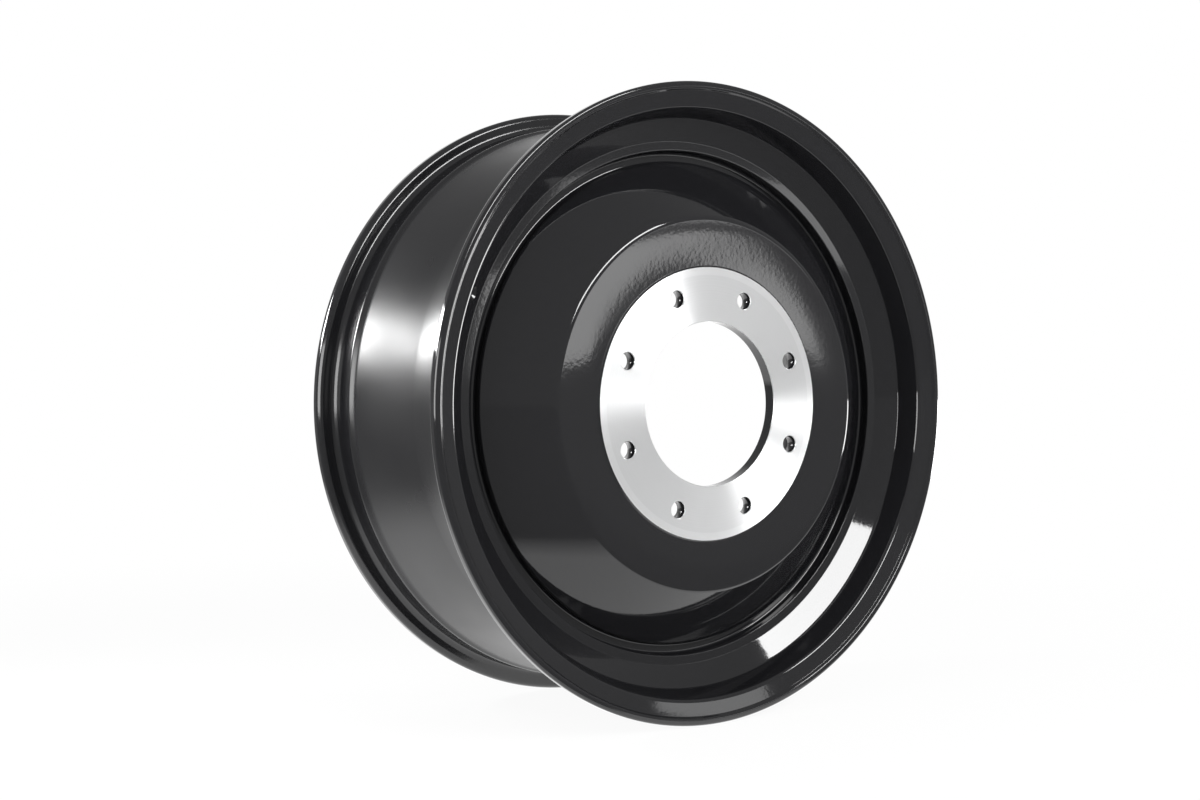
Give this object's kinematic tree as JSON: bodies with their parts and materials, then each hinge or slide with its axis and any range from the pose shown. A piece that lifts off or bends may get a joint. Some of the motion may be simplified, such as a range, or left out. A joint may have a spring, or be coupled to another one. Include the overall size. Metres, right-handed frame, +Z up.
{
  "type": "truck wheel",
  "caption": "One-piece deep-dished truck wheel with a black rim and bell, a bare turned mounting pad, a round hub bore, a ring of stud holes and one valve hole.",
  "frame": {"origin": "on the spin axis, midway between the outer faces of the two lips", "axes": "+Y along the spin axis towards the hub and the open back, -Y out of the mounting pad's visible face, +Z up, +X to the right seen from the pad side"},
  "size_m": [0.5984, 0.235, 0.5986],
  "materials": {
    "gloss_black": "gloss black coat over aluminium, with a bare turned mounting pad"
  },
  "bodies": {
    "root": {"wheel": "gloss_black"}
  },
  "joints": []
}
